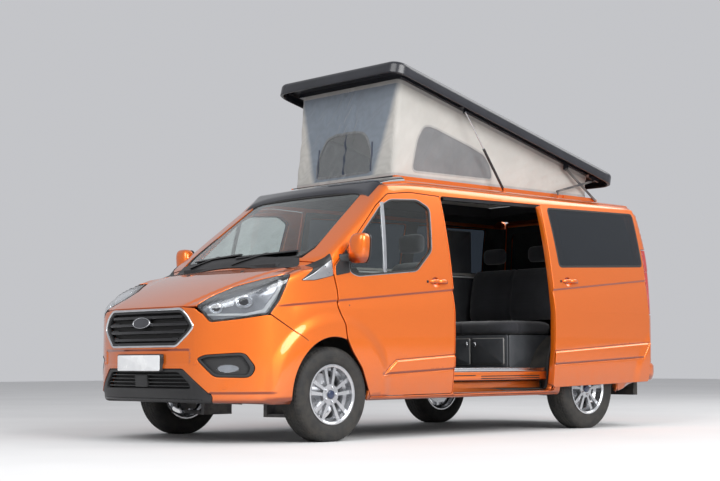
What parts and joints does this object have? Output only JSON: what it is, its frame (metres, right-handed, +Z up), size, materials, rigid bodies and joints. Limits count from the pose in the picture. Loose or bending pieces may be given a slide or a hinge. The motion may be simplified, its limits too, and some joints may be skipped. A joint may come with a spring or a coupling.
{
  "type": "camper van",
  "caption": "Short panel van fitted out as a camper, with a sliding side door slid open and a rear-hinged lifting roof raised over a canvas tent.",
  "frame": {"origin": "on the ground under the middle of the overall length and width", "axes": "+X forward to the nose, +Y to the van's left, +Z up"},
  "size_m": [4.9773, 2.272, 2.9319],
  "materials": {
    "paint": "metallic orange",
    "black_paint": "gloss blue-black",
    "trim": "satin black",
    "chrome": "polished",
    "lamp": "clear",
    "red_lamp": "gloss red",
    "clear_glass": "clear",
    "dark_glass": "dark tint",
    "steel": "painted",
    "alloy": "painted silver",
    "tyre": "matt",
    "cloth": "woven",
    "seat": "satin",
    "board": "matt laminate",
    "bright_metal": "brushed",
    "floor": "satin"
  },
  "bodies": {
    "body": {"side_left": "paint", "side_right": "paint", "roof_panel": "paint", "roof_cowl": "black_paint", "windscreen": "clear_glass", "wings": "paint", "front_bumper": "paint", "scuttle": "trim", "wipers": "trim", "grille": "chrome", "lower_intake": "trim", "fog_lamps": "trim", "headlamps": "lamp", "tail_lamps": "red_lamp", "rear_bumper": "trim", "sliding_door": "paint", "sliding_door_glass": "dark_glass", "side_glass": "dark_glass", "door_track": "bright_metal", "underbody": "floor", "engine": "steel", "subframe": "steel", "rear_axle": "steel", "fuel_tank": "trim", "exhaust": "steel", "dashboard": "trim", "front_seats": "seat", "bench_seat": "seat", "cabinet": "board", "canvas": "cloth"},
    "bonnet": {"bonnet": "paint"},
    "tailgate": {"tailgate": "paint", "tailgate_glass": "dark_glass"},
    "door_left": {"door_left": "paint", "door_left_glass": "clear_glass"},
    "door_right": {"door_right": "paint", "door_right_glass": "clear_glass"},
    "knuckle_left": {"knuckle_left": "steel"},
    "knuckle_right": {"knuckle_right": "steel"},
    "steering_wheel": {"steering_wheel": "trim"},
    "pop_roof": {"pop_roof": "black_paint"},
    "roof_arms": {"roof_arms": "steel"},
    "roof_links": {"roof_links": "steel"},
    "roof_posts": {"roof_posts": "steel"},
    "strut_tubes": {"strut_tubes": "steel"},
    "strut_rods": {"strut_rods": "bright_metal"},
    "wheel_front_left": {"rim_front_left": "alloy", "tyre_front_left": "tyre"},
    "wheel_front_right": {"rim_front_right": "alloy", "tyre_front_right": "tyre"},
    "wheel_rear_left": {"rim_rear_left": "alloy", "tyre_rear_left": "tyre"},
    "wheel_rear_right": {"rim_rear_right": "alloy", "tyre_rear_right": "tyre"}
  },
  "joints": [
    {"name": "bonnet_hinge", "type": "hinge", "parent": "body", "child": "bonnet", "pos_m": [1.7, 0, 1.25], "axis": [0, -1, 0], "range_deg": [0, 55]},
    {"name": "tailgate_hinge", "type": "hinge", "parent": "body", "child": "tailgate", "pos_m": [-2.368, 0, 1.925], "axis": [0, 1, 0], "range_deg": [0, 88]},
    {"name": "door_left_hinge", "type": "hinge", "parent": "body", "child": "door_left", "pos_m": [1.32, 0.964, 0.8875], "axis": [0, 0, -1], "range_deg": [0, 68]},
    {"name": "door_right_hinge", "type": "hinge", "parent": "body", "child": "door_right", "pos_m": [1.32, -0.964, 0.8875], "axis": [0, 0, 1], "range_deg": [0, 68]},
    {"name": "steer_left", "type": "hinge", "parent": "body", "child": "knuckle_left", "pos_m": [1.4785, 0.784, 0.19], "axis": [0, -0.1906, 0.9817], "range_deg": [-30, 30]},
    {"name": "steer_right", "type": "hinge", "parent": "body", "child": "knuckle_right", "pos_m": [1.4785, -0.784, 0.19], "axis": [0, 0.1906, 0.9817], "range_deg": [-30, 30]},
    {"name": "steering_wheel_turn", "type": "hinge", "parent": "body", "child": "steering_wheel", "pos_m": [0.985, -0.42, 1.12], "axis": [-0.88, 0, 0.475], "range_deg": [-450, 450]},
    {"name": "roof_lift", "type": "hinge", "parent": "body", "child": "roof_arms", "pos_m": [-2.01, 0, 2.006], "axis": [0, 1, 0], "range_deg": [0, 31.71], "deforming": ["canvas"]},
    {"name": "roof_tilt", "type": "hinge", "parent": "roof_arms", "child": "pop_roof", "pos_m": [-1.602, 0, 2.258], "axis": [0, -1, 0], "range_deg": [0, 17.75]},
    {"name": "roof_link_turn", "type": "hinge", "parent": "roof_arms", "child": "roof_links", "pos_m": [-1.79828, 0, 2.13677], "axis": [0, -1, 0], "range_deg": [0, 45.3]},
    {"name": "roof_post_turn", "type": "hinge", "parent": "body", "child": "roof_posts", "pos_m": [-1.4542, 0, 2], "axis": [0, 1, 0], "range_deg": [0, 90.9]},
    {"name": "strut_turn", "type": "hinge", "parent": "body", "child": "strut_tubes", "pos_m": [-0.7, 0, 2.002], "axis": [0, 1, 0], "range_deg": [0, 52.1]},
    {"name": "strut_slide", "type": "slide", "parent": "strut_tubes", "child": "strut_rods", "axis": [-0.6055, 0, -0.7958], "range_m": [0, 0.183]},
    {"name": "wheel_front_left_spin", "type": "hinge", "parent": "knuckle_left", "child": "wheel_front_left", "pos_m": [1.4785, 0.868, 0.335], "axis": [0, 1, 0], "continuous": true},
    {"name": "wheel_rear_left_spin", "type": "hinge", "parent": "body", "child": "wheel_rear_left", "pos_m": [-1.4545, 0.86, 0.335], "axis": [0, 1, 0], "continuous": true},
    {"name": "wheel_front_right_spin", "type": "hinge", "parent": "knuckle_right", "child": "wheel_front_right", "pos_m": [1.4785, -0.868, 0.335], "axis": [0, 1, 0], "continuous": true},
    {"name": "wheel_rear_right_spin", "type": "hinge", "parent": "body", "child": "wheel_rear_right", "pos_m": [-1.4545, -0.86, 0.335], "axis": [0, 1, 0], "continuous": true}
  ],
  "couplings": [
    {"joint": "steer_right", "follows": "steer_left", "ratio": 1},
    {"joint": "steering_wheel_turn", "follows": "steer_left", "ratio": 15},
    {"joint": "roof_tilt", "follows": "roof_lift", "ratio": 0.55849},
    {"joint": "roof_link_turn", "follows": "roof_lift", "ratio": 1.4257},
    {"joint": "roof_post_turn", "follows": "roof_lift", "ratio": 2.8601},
    {"joint": "strut_turn", "follows": "roof_lift", "ratio": 1.6393},
    {"joint": "strut_slide", "follows": "roof_lift", "m_per_rad": 0.32957}
  ]
}
